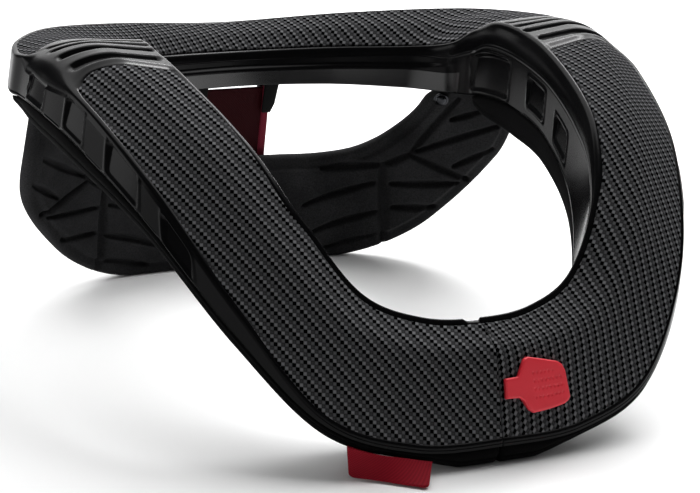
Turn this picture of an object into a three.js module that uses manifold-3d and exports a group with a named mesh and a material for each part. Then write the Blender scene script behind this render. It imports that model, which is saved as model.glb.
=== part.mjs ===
// A protective neck collar for riders, standing on its front pads and on the lower edge of its back pad.
// Millimetres, +Z up, the front of the collar towards -Y.
// Left and right are as seen from the front, so left is -X.
import * as THREE from "three";
import { mergeVertices } from "three/addons/utils/BufferGeometryUtils.js";
import Module from "manifold-3d";

const kernel = await Module();
kernel.setup();

// Fitting gaps and thicknesses.
const FITTING_GAP = 0.3;
const PANEL_THICKNESS = 1.8;
const BEAD_WIDTH = 2;
const RIM_WIDTH = 1.3;
const SEAM_HALF_GAP = 0.35;
const GROOVE_DEPTH = 2.2;
const DENT_DEPTH = 1.8;
const FLAP_THICKNESS = 9;
const FLAP_BORDER_THICKNESS = 5.5;

// Half of the ring from the front centre (first row) to the back centre (last row),
// at equal steps of the ring place.
// lip: inner edge of the top. edge: outer edge of the top. crownAt, crownUp: where the top is highest above the
// straight line from lip to edge, and by how much. wallIn, wallOut: height of the inner and outer glossy walls.
// lean: how far the inner wall comes in at its foot. flare: how far the outer wall goes out at its foot.
// padIn, padOut: height over the floor of the pad's inner and outer lower edges.
const RING_COLUMNS = [
  "lipX", "lipY", "lipZ", "edgeX", "edgeY", "edgeZ", "crownAt", "crownUp",
  "wallIn", "wallOut", "lean", "flare", "padIn", "padOut",
];
const RING = [
  [0, -99, 50, 0, -126.5, 11, 0.56, 15, 34, 3.4, 1, 0.2, -2.2, -2.2],
  [25, -96.5, 51.5, 39, -124.5, 13.5, 0.54, 14, 34, 3.8, 1, 0.2, 4, 5.2],
  [48, -89, 60, 76, -115, 27.5, 0.5, 11.5, 35, 5, 1.5, 0.3, 13, 16.5],
  [66, -74, 82.5, 104, -90.5, 60, 0.5, 8.5, 34, 9, 2.5, 0.6, 36.5, 45.5],
  [77.5, -49, 106.3, 122.5, -52, 94, 0.5, 6.5, 32.8, 12.5, 2, 1.5, 61.5, 75.5],
  [83.8, -16, 118.4, 131.5, -10, 112.8, 0.58, 7, 30.4, 15.3, 0.8, 2.5, 75, 89],
  [85.5, 13, 122, 134.5, 19, 116.8, 0.7, 7.4, 31, 15.3, -0.5, 2, 77.5, 93.5],
  [83, 33, 121.3, 134.7, 34, 117.2, 0.72, 4.8, 32.3, 16.2, -2.5, 1, 78.5, 95.5],
  [82.5, 46, 113.3, 135, 44, 116, 0.66, 5.6, 27.8, 16, -2, 0.5, 81.5, 97.8],
  [80.5, 59, 103.5, 128, 57, 116.5, 0.42, 8.5, 21, 17, -0.5, 0, 80.5, 97.5],
  [71, 73, 97.5, 102.5, 80, 113, 0.46, 3.5, 17, 17.5, 1.5, 0, 79, 94],
  [42, 89, 92.5, 56, 104, 105.2, 0.5, 2.5, 14, 17.7, 1, 0, 77, 86],
  [0, 96, 90.5, 0, 115.5, 99.4, 0.5, 2.5, 13, 17.4, 1, 0, 76, 81],
];

// Ring places, 0 at the front seam, 1 at the back centre.
const ARM_PANEL_END = { atLip: 0.456, atEdge: 0.457 };
const BACK_PANEL_START = { atLip: 0.75, atEdge: 0.602 };
const PAD_END = 0.66;
const RIB_GROOVES = [
  { atLip: 0.484, atEdge: 0.473, from: 0.11, to: 0.88 },
  { atLip: 0.515, atEdge: 0.507, from: 0.06, to: 0.88 },
  { atLip: 0.538, atEdge: 0.545, from: 0.06, to: 0.88 },
  { atLip: 0.563, atEdge: 0.577, from: 0.06, to: 0.87 },
];
const RIB_GROOVE_HALF_WIDTH = 0.0065;

// Dents in the walls: ring places from and to, and the part of the wall's height they take,
// counted from the top.
const OUTER_DENTS = [
  { from: 0.289, to: 0.318, top: 0.2, foot: 0.86 },
  { from: 0.344, to: 0.379, top: 0.1, foot: 0.86 },
  { from: 0.409, to: 0.438, top: 0.12, foot: 0.86 },
  { from: 0.484, to: 0.54, top: 0.1, foot: 0.86 },
];
const INNER_DENTS = [
  { from: 0.368, to: 0.4, top: 0.54, foot: 0.86 },
  { from: 0.43, to: 0.47, top: 0.45, foot: 0.84 },
  { from: 0.518, to: 0.642, top: 0.42, foot: 0.92 },
];

// Half of the back pad's front face from its centre to the tip of its side lobe.
// low: lower edge. top: upper edge.
const FLAP_COLUMNS = ["lowX", "lowY", "lowZ", "topX", "topY", "topZ"];
const FLAP = [
  [0, 76, 0, 0, 89.5, 44.5],
  [28, 76, 0, 22, 89, 44.3],
  [53, 75, 0, 42, 87.5, 44.3],
  [70, 70.5, 8.5, 57, 84.5, 46.8],
  [84, 66.5, 16.5, 66, 81, 52],
  [95, 64.5, 25, 72, 77.5, 58],
  [104, 62.5, 35, 77, 74.5, 64],
  [110, 60, 46, 80, 71.5, 70],
  [113.5, 56, 57.5, 82, 69, 76],
  [115.5, 51.5, 74, 84.5, 65.5, 80],
  [116, 48.5, 93.8, 88, 61.5, 85.1],
];

// Grooves in the back pad's front face, the same on both halves: row and rise at each end.
// A rise is 0 at the lower edge and 1 at the upper one.
const FLAP_GROOVES = [
  { row: 3.8, rise: 0.74, endRow: 3.1, endRise: 0.08 },
  { row: 1.4, rise: 0.49, endRow: 3.2, endRise: 0.59 },
  { row: 1.6, rise: 0.29, endRow: 2.95, endRise: 0.36 },
  { row: 1.8, rise: 0.12, endRow: 2.85, endRise: 0.14 },
  { row: 1.85, rise: 0.8, endRow: 3.45, endRise: 0.75 },
  { row: 3.9, rise: 0.55, endRow: 5.7, endRise: 0.12 },
  { row: 3.6, rise: 0.32, endRow: 4.7, endRise: 0.09 },
  { row: 4.15, rise: 0.71, endRow: 4.9, endRise: 0.7 },
  { row: 5, rise: 0.66, endRow: 6.1, endRise: 0.1 },
  { row: 5.75, rise: 0.6, endRow: 8.1, endRise: 0.24 },
  { row: 6.3, rise: 0.27, endRow: 7.4, endRise: 0.1 },
  { row: 7.2, rise: 0.66, endRow: 8.5, endRise: 0.45 },
];
const FLAP_GROOVE = { halfWidth: 1.3, depth: 2 };
const LOBE_TURN = THREE.MathUtils.degToRad(27);

// The strut behind the back pad, its clips, and the rivets.
const STRUT = { halfWidth: 18, front: 97.2, thickness: 2.6, bottom: 34, top: 74.8 };
const CLIP = { inner: 14.2, outer: 22.5, front: 95.9, back: 103, bottom: 63.5, top: 77.2 };
const RIVET = { row: 8.2, rise: 0.8, radius: 3.6, height: 2 };

// The release tab on the right inlay: ring place, and the parts between which the tab spans the top there.
const RELEASE_TAB = [
  { place: 0.004, from: 0.703, to: 0.801 },
  { place: 0.0185, from: 0.698, to: 0.803 },
  { place: 0.0225, from: 0.66, to: 0.822 },
  { place: 0.0275, from: 0.612, to: 0.868 },
  { place: 0.032, from: 0.6, to: 0.884 },
  { place: 0.049, from: 0.622, to: 0.877 },
  { place: 0.066, from: 0.648, to: 0.868 },
  { place: 0.071, from: 0.668, to: 0.858 },
  { place: 0.0738, from: 0.706, to: 0.842 },
];
const TAB_THICKNESS = 1.7;

// The label hangs from the left pad between two ring places and turns outward where it meets the floor.
const LABEL = { from: 0.067, to: 0.143, thickness: 1.2, tips: [[-40.5, -137.5, 0.9], [-63.5, -121.5, 0.9]] };

// Takes a value from four neighbours with a smooth curve through the middle two.
function smooth(before, start, end, after, part) {
  const square = part * part;
  const cube = square * part;
  return 0.5 * (
    2 * start
    + (end - before) * part
    + (2 * before - 5 * start + 4 * end - after) * square
    + (3 * start - before - 3 * end + after) * cube
  );
}

// Reads a half table at a place counted in rows. The far half mirrors the near one,
// so columns of x change sign there. A table that doesn't close at its last row runs on straight past it.
function readTable(table, columns, place, closes) {
  const last = table.length - 1;
  const row = Math.min(Math.floor(place), last - 1);
  const sizes = {};
  columns.forEach((name, column) => {
    const mirror = name.endsWith("X") ? -1 : 1;
    const value = (index) => {
      if (index < 0) return mirror * table[-index][column];
      if (index > last && closes) return mirror * table[2 * last - index][column];
      if (index > last) return 2 * table[last][column] - table[last - 1][column];
      return table[index][column];
    };
    sizes[name] = smooth(value(row - 1), value(row), value(row + 1), value(row + 2), place - row);
  });
  return sizes;
}

// The ring's sizes at a place from -1 to 1. Places above 0 lie at -X. A place past 1 goes on round the back.
function ringAt(place) {
  const wrapped = place > 1 ? place - 2 : place;
  const sizes = readTable(RING, RING_COLUMNS, Math.abs(wrapped) * (RING.length - 1), true);
  const side = wrapped >= 0 ? -1 : 1;
  sizes.lipX *= side;
  sizes.edgeX *= side;
  sizes.padIn = Math.max(sizes.padIn, 0);
  sizes.padOut = Math.max(sizes.padOut, 0);
  const toShoulder = THREE.MathUtils.smoothstep(Math.abs(wrapped), 0.42, 0.5);
  const pastShoulder = THREE.MathUtils.smoothstep(Math.abs(wrapped), 0.72, 0.82);
  sizes.softness = mix(0.6, 1.2, toShoulder * (1 - pastShoulder));
  sizes.out = new THREE.Vector2(sizes.edgeX - sizes.lipX, sizes.edgeY - sizes.lipY);
  sizes.width = sizes.out.length();
  sizes.out.normalize();
  return sizes;
}

// A point of the upright section: how far out from the lip, and how high over the floor.
function sectionPoint(sizes, outward, height) {
  return new THREE.Vector3(sizes.lipX + sizes.out.x * outward, sizes.lipY + sizes.out.y * outward, height);
}

// Height of the top surface at a part of the way from lip to edge: two slopes that meet in a softened crease,
// softest over the shoulders, whose top is broad.
function topHeight(sizes, part) {
  const rising = part / sizes.crownAt;
  const falling = (1 - part) / (1 - sizes.crownAt);
  const { softness } = sizes;
  const blend = Math.max(softness - Math.abs(rising - falling), 0) / softness;
  const crown = Math.min(rising, falling) - blend * blend * softness * 0.25;
  return sizes.lipZ + (sizes.edgeZ - sizes.lipZ) * part + sizes.crownUp * crown;
}

// A point of the top surface, at a distance along the surface's own normal.
function topPoint(place, part, lift) {
  const at = (p, f) => {
    const sizes = ringAt(p);
    return sectionPoint(sizes, sizes.width * f, topHeight(sizes, f));
  };
  const point = at(place, part);
  if (lift === 0) return point;
  const step = 0.004;
  const along = at(place + step, part).sub(at(place - step, part));
  const across = at(place, part + 0.02).sub(at(place, part - 0.02));
  const normal = across.cross(along).normalize();
  if (normal.z < 0) normal.negate();
  return point.addScaledVector(normal, lift);
}

// Makes a geometry from points and triangles, and turns it to face out.
function closedGeometry(points, triangles) {
  let volume = 0;
  for (let i = 0; i < triangles.length; i += 3) {
    const [a, b, c] = [points[triangles[i]], points[triangles[i + 1]], points[triangles[i + 2]]];
    volume += a.dot(b.clone().cross(c));
  }
  const facing = volume > 0 ? triangles : [...triangles].reverse();
  const geometry = new THREE.BufferGeometry().setFromPoints(points);
  geometry.setIndex(facing);
  return geometry;
}

// Skins the ring's sections at the given places, and closes both ends.
// An outline is a list of [outward, height].
function loft(places, outline) {
  const sizes = places.map(ringAt);
  const outlines = sizes.map(outline);
  const count = outlines[0].length;
  const points = outlines.flatMap((pairs, i) => {
    return pairs.map(([outward, height]) => sectionPoint(sizes[i], outward, height));
  });
  const triangles = [];
  for (let i = 0; i < places.length - 1; i += 1) {
    for (let j = 0; j < count; j += 1) {
      const next = (j + 1) % count;
      const [a, b, c, d] = [i * count + j, i * count + next, (i + 1) * count + next, (i + 1) * count + j];
      triangles.push(a, b, c, a, c, d);
    }
  }
  const closeEnd = (row, withOutline) => {
    const contour = outlines[row].map(([outward, height]) => new THREE.Vector2(outward, height));
    const turn = Math.sign(THREE.ShapeUtils.area(contour));
    THREE.ShapeUtils.triangulateShape(contour, []).forEach((face) => {
      const same = Math.sign(THREE.ShapeUtils.area(face.map((k) => contour[k]))) === turn;
      const kept = same === withOutline ? face : [...face].reverse();
      triangles.push(...kept.map((k) => row * count + k));
    });
  };
  closeEnd(0, false);
  closeEnd(places.length - 1, true);
  return closedGeometry(points, triangles);
}

// A plate between two surfaces: point(u, v, 1) gives the upper face and point(u, v, 0) the lower one.
function plate(us, vs, point) {
  const points = [];
  [1, 0].forEach((face) => us.forEach((u) => vs.forEach((v) => points.push(point(u, v, face)))));
  const size = us.length * vs.length;
  const at = (i, j, face) => (face === 1 ? 0 : size) + i * vs.length + j;
  const triangles = [];
  const quad = (a, b, c, d) => triangles.push(a, b, c, a, c, d);
  for (let i = 0; i < us.length - 1; i += 1) {
    for (let j = 0; j < vs.length - 1; j += 1) {
      quad(at(i, j, 1), at(i + 1, j, 1), at(i + 1, j + 1, 1), at(i, j + 1, 1));
      quad(at(i, j, 0), at(i, j + 1, 0), at(i + 1, j + 1, 0), at(i + 1, j, 0));
    }
  }
  const lastU = us.length - 1;
  const lastV = vs.length - 1;
  for (let i = 0; i < lastU; i += 1) {
    quad(at(i, 0, 0), at(i + 1, 0, 0), at(i + 1, 0, 1), at(i, 0, 1));
    quad(at(i, lastV, 1), at(i + 1, lastV, 1), at(i + 1, lastV, 0), at(i, lastV, 0));
  }
  for (let j = 0; j < lastV; j += 1) {
    quad(at(0, j, 1), at(0, j + 1, 1), at(0, j + 1, 0), at(0, j, 0));
    quad(at(lastU, j, 0), at(lastU, j + 1, 0), at(lastU, j + 1, 1), at(lastU, j, 1));
  }
  return closedGeometry(points, triangles);
}

// Equal steps from one value to another, both ends counted.
function steps(from, to, count) {
  return Array.from({ length: count + 1 }, (_, i) => from + ((to - from) * i) / count);
}

function mix(from, to, part) {
  return from + (to - from) * part;
}

// A geometry as a solid for cutting, and a solid back as a geometry.
function solid(geometry) {
  return new kernel.Manifold(new kernel.Mesh({
    numProp: 3,
    vertProperties: new Float32Array(geometry.attributes.position.array),
    triVerts: new Uint32Array(geometry.index.array),
  }));
}
function geometryOf(made) {
  const mesh = made.getMesh();
  const geometry = new THREE.BufferGeometry();
  geometry.setAttribute("position", new THREE.BufferAttribute(mesh.vertProperties, 3));
  geometry.setIndex(new THREE.BufferAttribute(mesh.triVerts, 1));
  return geometry;
}
function cutAway(geometry, cutters) {
  return geometryOf(solid(geometry).subtract(kernel.Manifold.union(cutters.map(solid))));
}

// The body's section: inner wall, inner bead, top, outer bead, outer wall, underside.
const TOP_PARTS = [0.14, 0.3, 0.44, 0.56, 0.7, 0.85];
function bodyOutline(sizes) {
  const { width, lipZ, edgeZ, wallIn, wallOut, lean, flare } = sizes;
  const foot = lipZ - wallIn;
  const outerFoot = edgeZ - wallOut;
  const rim = width + RIM_WIDTH;
  return [
    [-lean + 0.8, foot],
    [-lean, foot + 0.8],
    [-lean * 0.5, foot + wallIn * 0.5],
    [-0.2, lipZ - 1.6],
    [0.3, lipZ - 0.3],
    [1, topHeight(sizes, 1 / width) + 0.4],
    [BEAD_WIDTH, topHeight(sizes, BEAD_WIDTH / width) + 0.2],
    ...TOP_PARTS.map((part) => [width * part, topHeight(sizes, part)]),
    [width, edgeZ + 0.3],
    [rim - 0.4, edgeZ],
    [rim, edgeZ - 0.9],
    [rim + flare * 0.5, edgeZ - wallOut * 0.55],
    [rim + flare, outerFoot + 0.8],
    [rim + flare - 0.8, outerFoot],
  ];
}

// The pads' section: it lies a fitting gap under the body and is rounded at its lower edges.
function padOutline(sizes) {
  const { width, lipZ, edgeZ, wallIn, wallOut, lean, flare, padIn, padOut } = sizes;
  const topIn = lipZ - wallIn - FITTING_GAP * 1.4;
  const topOut = edgeZ - wallOut - FITTING_GAP * 1.4;
  const left = -lean + 0.8;
  const right = width + RIM_WIDTH + flare - 0.8;
  return [
    [left, topIn],
    [left, mix(padIn, topIn, 0.4)],
    [left + 0.8, mix(padIn, topIn, 0.14)],
    [left + 3, padIn],
    [right - 2.2, padOut],
    [right - 0.4, mix(padOut, topOut, 0.15)],
    [right + 0.4, mix(padOut, topOut, 0.5)],
    [right, topOut],
  ];
}

// An inlay's plate between two ends that may run slanting, grown all round by a margin to make its recess.
// The arm inlays' outer edge draws in from the rim near the shoulder.
function panelInset(place) {
  const along = THREE.MathUtils.smoothstep(Math.abs(place), 0.38, 0.455);
  return Math.abs(place) < 0.55 ? 1.6 * along : 0;
}
const PANEL_PARTS = [0, 0.14, 0.3, 0.44, 0.56, 0.7, 0.85, 1];
function panel(start, end, count, margin, above, below) {
  const along = steps(0, 1, count);
  return plate(along, PANEL_PARTS, (u, v, face) => {
    const grown = u === 0 || u === 1 ? margin : 0;
    const place = mix(start(v, grown), end(v, grown), u);
    const { width } = ringAt(place);
    const from = (BEAD_WIDTH + 0.5 - margin) / width;
    const to = 1 - (0.4 + panelInset(place) - margin) / width;
    return topPoint(place, mix(from, to, v), face === 1 ? above : -below);
  });
}

// The ends of the inlays. A margin in millimetres is turned into ring places, of about 400 mm each at the front
// and 150 mm at the shoulders.
const seamEnd = (v, margin) => (SEAM_HALF_GAP + 0.4 - margin) / mix(300, 480, v);
function armEnd(v, margin) {
  const corner = Math.max(v - 0.75, 0) / 0.25;
  return mix(ARM_PANEL_END.atLip, ARM_PANEL_END.atEdge, v) - 0.018 * corner * corner + margin / 150;
}
function backEnd(v, margin) {
  return mix(BACK_PANEL_START.atLip, BACK_PANEL_START.atEdge, v) - margin / 75;
}
const armPanel = (side, margin, above, below) => panel(
  (v, m) => side * seamEnd(v, m), (v, m) => side * armEnd(v, m), 20, margin, above, below,
);
const backPanel = (margin, above, below) => panel(
  backEnd, (v, m) => 2 - backEnd(v, m), 22, margin, above, below,
);

// A groove across a shoulder, between two ribs.
function ribGroove(side, { atLip, atEdge, from, to }) {
  const half = RIB_GROOVE_HALF_WIDTH;
  return plate([-half, half], steps(from, to, 4), (u, v, face) => {
    const taper = face === 1 ? 1 : 0.6;
    const inset = face === 1 ? 0 : 0.03 * Math.sign(0.55 - v);
    return topPoint(side * (mix(atLip, atEdge, v) + u * taper), v + inset, face === 1 ? 5 : -GROOVE_DEPTH);
  });
}

// A dent in a wall: a shallow tray with slanting sides.
function wallDent(side, inner, { from, to, top, foot }) {
  const wallPoint = (place, part, depth) => {
    const sizes = ringAt(side * place);
    const outward = inner ? -sizes.lean * part + depth : sizes.width + sizes.flare * part - depth;
    const height = inner ? sizes.lipZ - sizes.wallIn * part : sizes.edgeZ - sizes.wallOut * part;
    return sectionPoint(sizes, outward, height);
  };
  const shrink = 0.16;
  return plate(steps(0, 1, 2), [0, 1], (u, v, face) => {
    const a = face === 1 ? u : mix(shrink, 1 - shrink, u);
    const b = face === 1 ? v : mix(shrink, 1 - shrink, v);
    return wallPoint(mix(from, to, a) + 0.006 * (0.5 - b), mix(top, foot, b), face === 1 ? -4 : DENT_DEPTH);
  });
}

const bothSides = [1, -1];
const seamPlace = SEAM_HALF_GAP / 300;
const bodyPlaces = steps(seamPlace, 2 - seamPlace, 62);
const bodyCutters = [
  backPanel(0.4, 6, PANEL_THICKNESS + FITTING_GAP * 1.5),
  ...bothSides.flatMap((side) => [
    armPanel(side, 0.4, 6, PANEL_THICKNESS + FITTING_GAP),
    ...RIB_GROOVES.map((groove) => ribGroove(side, groove)),
    ...OUTER_DENTS.map((dent) => wallDent(side, false, dent)),
    ...INNER_DENTS.map((dent) => wallDent(side, true, dent)),
  ]),
];
const bodyGeometry = cutAway(loft(bodyPlaces, bodyOutline), bodyCutters);

// The back pad's front face, its thickness, and its place counted in rows to both sides of the centre.
function flapAt(row, rise) {
  const sizes = readTable(FLAP, FLAP_COLUMNS, Math.abs(row), false);
  const side = row >= 0 ? -1 : 1;
  return new THREE.Vector3(
    side * mix(sizes.lowX, sizes.topX, rise),
    mix(sizes.lowY, sizes.topY, rise),
    mix(Math.max(sizes.lowZ, 0), sizes.topZ, rise),
  );
}
// The back pad is thick straight backwards at its middle, and turned outward along its lobes.
function flapPoint(row, rise, depth) {
  const turn = LOBE_TURN * THREE.MathUtils.smoothstep(Math.abs(row), 1, 5);
  const back = new THREE.Vector3(row >= 0 ? -Math.sin(turn) : Math.sin(turn), Math.cos(turn), 0);
  return flapAt(row, rise).addScaledVector(back, depth);
}
const FLAP_RISES = [0, 0.05, 0.14, 0.38, 0.62, 0.84, 0.94, 1];
const lastRow = FLAP.length - 1;
const flapPlate = plate(steps(-lastRow, lastRow, 36), FLAP_RISES, (row, rise, face) => {
  const fromEdge = Math.min(rise, 1 - rise, (lastRow - Math.abs(row)) * 0.25);
  const fullness = Math.min(fromEdge / 0.14, 1);
  const lobe = THREE.MathUtils.smoothstep(Math.abs(row), 5, 8);
  const thickness = mix(FLAP_BORDER_THICKNESS, FLAP_THICKNESS, fullness) - 3 * lobe * fullness;
  const front = (FLAP_THICKNESS - FLAP_BORDER_THICKNESS) * 0.5 * (1 - fullness);
  return flapPoint(row, rise, face === 1 ? front : front + thickness);
});

// A groove pressed into the back pad's front face.
function flapGroove(side, { row, rise, endRow, endRise }) {
  const at = (v, depth) => flapPoint(side * mix(row, endRow, v), mix(rise, endRise, v), depth);
  const back = at(0.5, 1).sub(at(0.5, 0)).normalize();
  const across = at(1, 0).sub(at(0, 0)).cross(back).normalize();
  return plate([-1, 1], steps(0, 1, 3), (u, v, face) => {
    const reach = FLAP_GROOVE.halfWidth * (face === 1 ? 1 : 0.35);
    const point = at(face === 1 ? v : mix(0.04, 0.96, v), face === 1 ? -1.2 : FLAP_GROOVE.depth);
    return point.addScaledVector(across, u * reach);
  });
}
const flapGeometry = cutAway(
  flapPlate, bothSides.flatMap((side) => FLAP_GROOVES.map((groove) => flapGroove(side, groove))),
);

// A box between two corners.
function box(low, high) {
  const size = new THREE.Vector3().subVectors(high, low);
  const middle = new THREE.Vector3().addVectors(low, high).multiplyScalar(0.5);
  return new THREE.BoxGeometry(size.x, size.y, size.z).translate(middle.x, middle.y, middle.z);
}
function strut(margin) {
  const { halfWidth, front, thickness, bottom, top } = STRUT;
  return plate([-1, 1], [0, 1], (u, v, face) => new THREE.Vector3(
    u * (halfWidth + margin),
    face === 1 ? front - margin : front + thickness + margin,
    mix(bottom, top + margin, v),
  ));
}
function clip(side) {
  const near = new THREE.Vector3(Math.min(side * CLIP.inner, side * CLIP.outer), CLIP.front, CLIP.bottom);
  const far = new THREE.Vector3(Math.max(side * CLIP.inner, side * CLIP.outer), CLIP.back, CLIP.top);
  return cutAway(weld(box(near, far)), [strut(FITTING_GAP)]);
}

// Joins the points that a three.js shape repeats at its edges.
function weld(geometry) {
  geometry.deleteAttribute("normal");
  geometry.deleteAttribute("uv");
  return mergeVertices(geometry, 1e-4);
}
function rivet(side) {
  const { row, rise, radius, height } = RIVET;
  const profile = [[0, 0], [radius, 0], [radius, height * 0.35], [radius * 0.7, height * 0.85], [0, height]];
  const dome = weld(new THREE.LatheGeometry(profile.map(([r, h]) => new THREE.Vector2(r, h)), 14));
  const along = flapAt(side * row + 0.3, rise).sub(flapAt(side * row - 0.3, rise));
  const up = flapAt(side * row, rise + 0.1).sub(flapAt(side * row, rise - 0.1));
  const front = along.cross(up).normalize();
  if (front.y > 0) front.negate();
  const seat = flapAt(side * row, rise).addScaledVector(front, FITTING_GAP + 0.1);
  dome.applyQuaternion(new THREE.Quaternion().setFromUnitVectors(new THREE.Vector3(0, 1, 0), front));
  return dome.translate(seat.x, seat.y, seat.z);
}

function releaseTab() {
  const rows = RELEASE_TAB.map((_, i) => i);
  return plate(rows, steps(0, 1, 5), (i, v, face) => {
    const { place, from, to } = RELEASE_TAB[i];
    return topPoint(-place, mix(from, to, v), FITTING_GAP + 0.1 + face * TAB_THICKNESS);
  });
}

function labelTab() {
  const { from, to, thickness, tips } = LABEL;
  return plate(steps(0, 1, 5), steps(0, 1, 3), (u, v, face) => {
    const sizes = ringAt(mix(from, to, u));
    const seat = mix(sizes.padOut, sizes.edgeZ - sizes.wallOut, 0.4);
    const reach = sizes.width + RIM_WIDTH + sizes.flare + FITTING_GAP + thickness * 0.5;
    const rootPoint = sectionPoint(sizes, reach, seat);
    const tip = new THREE.Vector3(...tips[0]).lerp(new THREE.Vector3(...tips[1]), u);
    const outward = new THREE.Vector3(sizes.out.x, sizes.out.y, 0);
    const hanging = tip.clone().sub(rootPoint).normalize();
    const along = new THREE.Vector3(-sizes.out.y, sizes.out.x, 0);
    const normal = hanging.clone().cross(along).normalize();
    if (normal.dot(outward) + normal.z < 0) normal.negate();
    const point = rootPoint.clone().lerp(tip, v);
    return point.addScaledVector(normal, (face - 0.5) * thickness);
  });
}

const root = new THREE.Group();
root.name = "neck_collar";
function add(name, geometry, color, roughness, metalness) {
  const mesh = new THREE.Mesh(geometry, new THREE.MeshStandardMaterial({ color, roughness, metalness }));
  mesh.name = name;
  root.add(mesh);
}
add("collar_body", bodyGeometry, 0x18191b, 0.25, 0);
add("carbon_panel_left", armPanel(1, 0, 0, PANEL_THICKNESS), 0x2c2c2e, 0.4, 0);
add("carbon_panel_right", armPanel(-1, 0, 0, PANEL_THICKNESS), 0x2c2c2e, 0.4, 0);
add("carbon_panel_back", backPanel(0, 0, PANEL_THICKNESS), 0x2c2c2e, 0.4, 0);
const leftPlaces = bodyPlaces.filter((place) => place < PAD_END);
const rightPlaces = bodyPlaces.filter((place) => place > 2 - PAD_END);
add("lower_pad_left", loft(leftPlaces, padOutline), 0x101011, 0.95, 0);
add("lower_pad_right", loft(rightPlaces, padOutline), 0x101011, 0.95, 0);
add("back_pad", flapGeometry, 0x1b1b1c, 0.95, 0);
add("back_strut", strut(0), 0x5a1218, 0.7, 0);
add("strut_clip_left", clip(-1), 0x141415, 0.5, 0);
add("strut_clip_right", clip(1), 0x141415, 0.5, 0);
add("snap_rivet_left", rivet(1), 0x3a3b3d, 0.3, 1);
add("snap_rivet_right", rivet(-1), 0x3a3b3d, 0.3, 1);
add("release_tab", releaseTab(), 0xc23a44, 0.5, 0);
add("label_tab", labelTab(), 0xa81f2c, 0.7, 0);

// The part stands on the floor, with the middle of its box over the origin.
const room = new THREE.Box3().setFromObject(root);
const middle = room.getCenter(new THREE.Vector3());
root.children.forEach((mesh) => mesh.geometry.translate(-middle.x, -middle.y, -room.min.z));

export default root;
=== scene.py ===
import math

import bpy
import numpy as np
from mathutils import Matrix, Vector


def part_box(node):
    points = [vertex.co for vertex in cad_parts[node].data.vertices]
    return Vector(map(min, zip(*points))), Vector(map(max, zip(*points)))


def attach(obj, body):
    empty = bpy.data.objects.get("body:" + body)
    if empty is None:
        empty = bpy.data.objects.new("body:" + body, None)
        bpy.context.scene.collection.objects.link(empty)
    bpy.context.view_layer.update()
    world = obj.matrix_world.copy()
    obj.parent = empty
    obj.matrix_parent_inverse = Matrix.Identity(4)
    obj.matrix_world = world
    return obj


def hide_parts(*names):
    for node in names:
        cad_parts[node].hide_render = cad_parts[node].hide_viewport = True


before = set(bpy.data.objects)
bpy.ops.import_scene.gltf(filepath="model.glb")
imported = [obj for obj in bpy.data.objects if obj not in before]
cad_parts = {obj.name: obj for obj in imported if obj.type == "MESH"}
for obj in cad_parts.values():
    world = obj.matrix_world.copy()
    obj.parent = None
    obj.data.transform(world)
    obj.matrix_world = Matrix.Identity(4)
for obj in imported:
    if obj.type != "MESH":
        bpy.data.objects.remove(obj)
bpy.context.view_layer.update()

# A protective neck collar for riders. Sizes are millimetres in the collar's own frame, with the front
# towards -Y, and become metres when a mesh is made. Left and right are as seen from the front: left is -X.
MM = 0.001

# Half of the ring, from the front seam to the middle of the back, at equal steps of the ring place.
# lip and edge are the inner and outer edges of the top, crown its ridge, wall the height of the gloss walls,
# lean and flare how far those walls go in and out at their feet, pad the height of the pad's lower edges.
RING_COLUMNS = [
    "lip_x", "lip_y", "lip_z", "edge_x", "edge_y", "edge_z", "crown_at", "crown_up",
    "wall_in", "wall_out", "lean", "flare", "pad_in", "pad_out",
]
RING = [
    [0, -99, 50, 0, -126.5, 10.4, 0.56, 15, 34, 2.6, 1, 0.2, -2.2, -2.2],
    [25, -96.5, 51.5, 39, -124.5, 11.8, 0.54, 14, 34, 2.5, 1, 0.2, 4, 5.2],
    [48, -89, 60, 76, -115, 24.6, 0.5, 11.5, 35, 3.2, 1.5, 0.3, 13, 16.5],
    [66, -74, 82.5, 104, -90.5, 60, 0.5, 8.5, 34, 9, 2.5, 0.6, 36.5, 45.5],
    [77.5, -49, 106.3, 122.5, -52, 94, 0.5, 6.5, 32.8, 12.5, 2, 1.5, 61.5, 75.5],
    [83.8, -16, 118.4, 131.5, -10, 112.8, 0.58, 7, 30.4, 15.3, 0.8, 2.5, 75, 89],
    [85.5, 13, 122, 134.5, 19, 116.8, 0.7, 7.4, 31, 15.3, -0.5, 2, 77.5, 93.5],
    [83, 33, 121.3, 134.7, 34, 117.2, 0.72, 4.8, 32.3, 16.2, -2.5, 1, 78.5, 95.5],
    [82.5, 46, 113.3, 135, 44, 116, 0.66, 5.6, 27.8, 16, -2, 0.5, 81.5, 97.8],
    [80.5, 59, 103.5, 128, 57, 116.5, 0.42, 8.5, 21, 17, -0.5, 0, 80.5, 97.5],
    [71, 73, 97.5, 102.5, 80, 113, 0.46, 3.5, 17, 17.5, 1.5, 0, 79, 94],
    [42, 89, 92.5, 56, 104, 105.2, 0.5, 2.5, 14, 17.7, 1, 0, 77, 86],
    [0, 96, 90.5, 0, 115.5, 99.4, 0.5, 2.5, 13, 17.4, 1, 0, 76, 81],
]

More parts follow.
